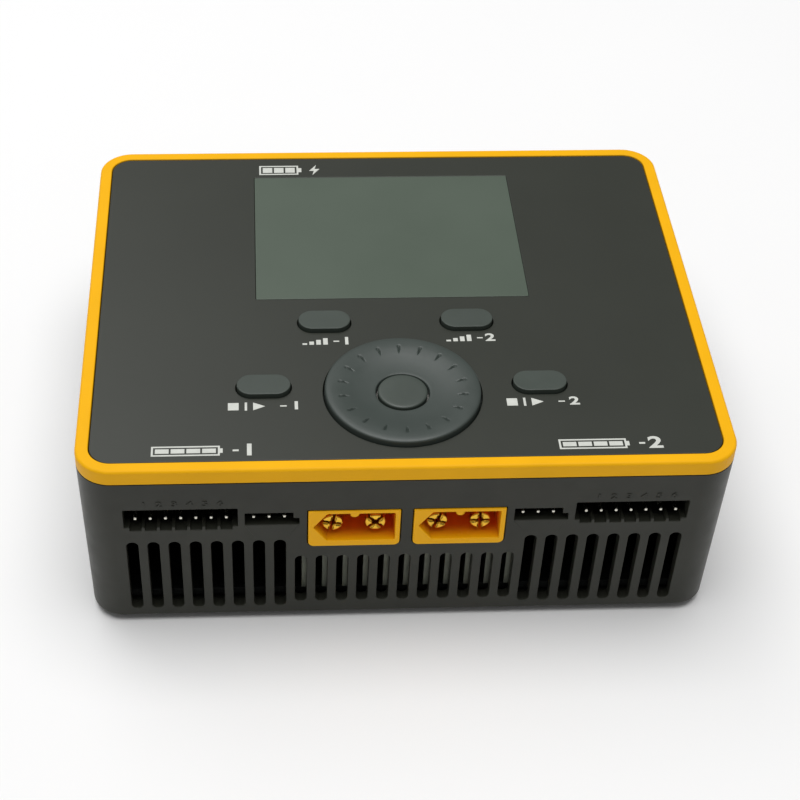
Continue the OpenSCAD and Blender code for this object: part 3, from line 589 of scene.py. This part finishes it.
def print_polygons(name, polygons, place):
    """Printed flat shapes on the top plate; each polygon is a list of (x, y) in mm round place."""
    bm = bmesh.new()
    for polygon in polygons:
        lower = [(place[0] + x * MM, place[1] + y * MM, PLATE_TOP - INK_SINK) for x, y in polygon]
        face = bm.faces.new([bm.verts.new(point) for point in lower])
        made = bmesh.ops.extrude_face_region(bm, geom=[face])
        for v in made["geom"]:
            if isinstance(v, bmesh.types.BMVert):
                v.co.z = PLATE_TOP + INK_DEPTH
    bmesh.ops.recalc_face_normals(bm, faces=bm.faces)
    return add_piece(name, to_mesh(bm, name), "case", print_ink)


def numeral_mesh(name, text, height_mm, thickness, placing):
    """A bold, wide numeral as a solid, drawn flat and centred, then put where the placing matrix says."""
    curve = bpy.data.curves.new(name, "FONT")
    curve.body = text
    curve.size = height_mm * MM / 0.7
    curve.align_x = "CENTER"
    curve.align_y = "CENTER"
    curve.extrude = thickness / 2
    curve.offset = 0.03 * curve.size
    holder = bpy.data.objects.new(name + "_outline", curve)
    scene.collection.objects.link(holder)
    bpy.context.view_layer.update()
    evaluated = holder.evaluated_get(bpy.context.evaluated_depsgraph_get())
    mesh = bpy.data.meshes.new_from_object(evaluated)
    mesh.transform(placing @ Matrix.Diagonal((1.3, 1, 1, 1)))
    mesh.name = name
    bpy.data.objects.remove(holder)
    return mesh


def print_numeral(name, text, place, height_mm):
    """A printed numeral on the top plate, the right way up for someone in front."""
    placing = Matrix.Translation((place[0], place[1], PLATE_TOP + (INK_DEPTH - INK_SINK) / 2))
    mesh = numeral_mesh(name, text, height_mm, INK_DEPTH + INK_SINK, placing)
    return add_piece(name, mesh, "case", print_ink)


WALL_LEAN = math.atan2(0.6, 32.1)    # the front wall leans back by 0.6 mm down its height of 32.1 mm
RELIEF = 0.22 * MM                   # half of this thickness stands proud of the wall
CELL_PITCH = 2.5 * MM
CELL_NUMBER_Z = 29.2 * MM
CELL_NUMBER_MM = 1.1
CELL_NUMBER_OFFSET = -0.9 * MM       # the numbers stand a little left of the contacts


def wall_relief(name, text, x, z, height_mm):
    """A numeral moulded on the front wall, standing a hair proud of it."""
    y = shell_low.y + math.tan(WALL_LEAN) * (BEZEL_Z0 - z)
    placing = Matrix.Translation((x, y, z)) @ Matrix.Rotation(math.radians(90) + WALL_LEAN, 4, "X")
    mesh = numeral_mesh(name, text, height_mm, RELIEF, placing)
    return add_piece(name, mesh, "case", case_plastic)


# The cells of each balance port are numbered in relief above their contacts
for number in (1, 2):
    pins = middle_of(f"balance_pins_{number}")
    for cell in range(1, 7):
        x = pins.x + CELL_PITCH * (cell - 3) + CELL_NUMBER_OFFSET
        wall_relief(f"cell_number_{number}_{cell}", str(cell), x, CELL_NUMBER_Z, CELL_NUMBER_MM)


def block(x0, x1, y0, y1):
    """A rectangle's corners."""
    return [(x0, y0), (x1, y0), (x1, y1), (x0, y1)]


def frame_of(x0, x1, y0, y1, line):
    """The four strokes of a rectangle's outline."""
    return [block(x0, x1, y0, y0 + line), block(x0, x1, y1 - line, y1),
            block(x0, x0 + line, y0 + line, y1 - line), block(x1 - line, x1, y0 + line, y1 - line)]


def battery(x, width, height, line, cells):
    """A lying battery: outline, nub and filled cells, from x to x + width."""
    half = height / 2
    nub = height * 0.2
    body = width - nub
    shapes = frame_of(x, x + body, -half, half, line)
    shapes.append(block(x + body, x + width, -half * 0.45, half * 0.45))
    pitch = (body - 3 * line) / cells
    for i in range(cells):
        left = x + 2 * line + i * pitch
        shapes.append(block(left, left + pitch - line, -half + 2 * line, half - 2 * line))
    return shapes


def bolt(x, height):
    """A lightning bolt round x."""
    points = [(0.12, 0.5), (-0.3, -0.08), (-0.02, -0.08), (-0.12, -0.5), (0.3, 0.1), (0.02, 0.1)]
    return [(x + px * height, py * height) for px, py in points]


# Marks take the places of the printed labels: their middles and sizes in mm on the top plate
STATUS_MARK = {1: (-12.33, -13.05), 2: (12.75, -12.65)}
START_MARK = {1: (-23.3, -29.5), 2: (23.4, -29.4)}
CHANNEL_MARK = {1: (-33.2, -40.0), 2: (33.3, -39.85)}
for number in (1, 2):
    x, y = STATUS_MARK[number]
    bars = [block(-4.2 + 1.2 * i, -3.4 + 1.2 * i, -0.85, -0.85 + 0.425 * (i + 1)) for i in range(4)]
    bars.append(block(1.2, 2.2, -0.15, 0.15))
    print_polygons(f"status_mark_{number}", bars, (x * MM, y * MM))
    print_numeral(f"status_number_{number}", str(number), ((x + 3.5) * MM, y * MM), 1.9)
    x, y = START_MARK[number]
    shapes = [block(-6.1, -4.3, -0.9, 0.9), block(-3.3, -2.9, -1.0, 1.0),
              [(-1.9, -0.95), (0.1, 0.0), (-1.9, 0.95)], block(2.6, 3.7, -0.15, 0.15)]
    print_polygons(f"start_mark_{number}", shapes, (x * MM, y * MM))
    print_numeral(f"start_number_{number}", str(number), ((x + 5.3) * MM, y * MM), 1.9)
    x, y = CHANNEL_MARK[number]
    shapes = battery(-8.6, 11.6, 2.3, 0.32, 4)
    shapes.append(block(4.6, 5.6, -0.2, 0.2))
    print_polygons(f"channel_mark_{number}", shapes, (x * MM, y * MM))
    print_numeral(f"channel_number_{number}", str(number), ((x + 7.3) * MM, y * MM), 2.6)
print_polygons("charge_mark", battery(-4.5, 8.2, 3.0, 0.34, 3) + [bolt(6.2, 3.4)], (-19.0 * MM, 38.6 * MM))

# ---------------------------------------------------------------- stage, light and camera

floor_bm = bmesh.new()
bmesh.ops.create_grid(floor_bm, x_segments=2, y_segments=2, size=3.0)
floor = bpy.data.objects.new("floor", to_mesh(floor_bm, "floor"))
scene.collection.objects.link(floor)
floor_look = Shader("floor_paper")
floor_look.set(Base_Color=floor_look.mix(floor_look.noise(60), (0.93, 0.93, 0.93, 1), (0.95, 0.95, 0.95, 1)),
               Roughness=0.9)
floor.data.materials.append(floor_look.material)

world = bpy.data.worlds.new("studio")
scene.world = world
world.use_nodes = True
world.node_tree.nodes["Background"].inputs["Color"].default_value = (1.0, 1.0, 1.0, 1.0)
world.node_tree.nodes["Background"].inputs["Strength"].default_value = 0.22


def soft_light(name, place, target, size, power):
    """A round soft light of a size in metres and a power in watts, aimed at target."""
    data = bpy.data.lights.new(name, "AREA")
    data.shape = "DISK"
    data.size = size
    data.energy = power
    light = bpy.data.objects.new(name, data)
    scene.collection.objects.link(light)
    light.location = place
    light.rotation_mode = "QUATERNION"
    light.rotation_quaternion = (Vector(target) - Vector(place)).to_track_quat("-Z", "Y")


soft_light("overhead", (-0.05, -0.02, 1.1), (0, 0, 0.03), 1.1, 11.0)
soft_light("behind", (-0.35, 0.6, 0.85), (0, 0, 0.03), 0.7, 1.8)

# The camera looks at the front from above, a little from the left
CAMERA_PLACE_MM = Vector((-23.732, -245.951, 234.286))
CAMERA_RIGHT = Vector((0.998943, -0.042510, 0.017506))
CAMERA_UP = Vector((0.016332, 0.684083, 0.729222))
CAMERA_BACK = Vector((-0.042975, -0.728165, 0.684053))
camera_data = bpy.data.cameras.new("camera")
camera = bpy.data.objects.new("camera", camera_data)
scene.collection.objects.link(camera)
turned = Matrix((CAMERA_RIGHT, CAMERA_UP, CAMERA_BACK)).transposed().to_4x4()
camera.matrix_world = Matrix.Translation(CAMERA_PLACE_MM * MM) @ turned
camera_data.sensor_width = 36
camera_data.lens = 79.088
camera_data.shift_x = 0.0776
camera_data.shift_y = 0.0376
camera_data.clip_start = 0.01
camera_data.clip_end = 20
scene.camera = camera
scene.view_settings.view_transform = "Standard"
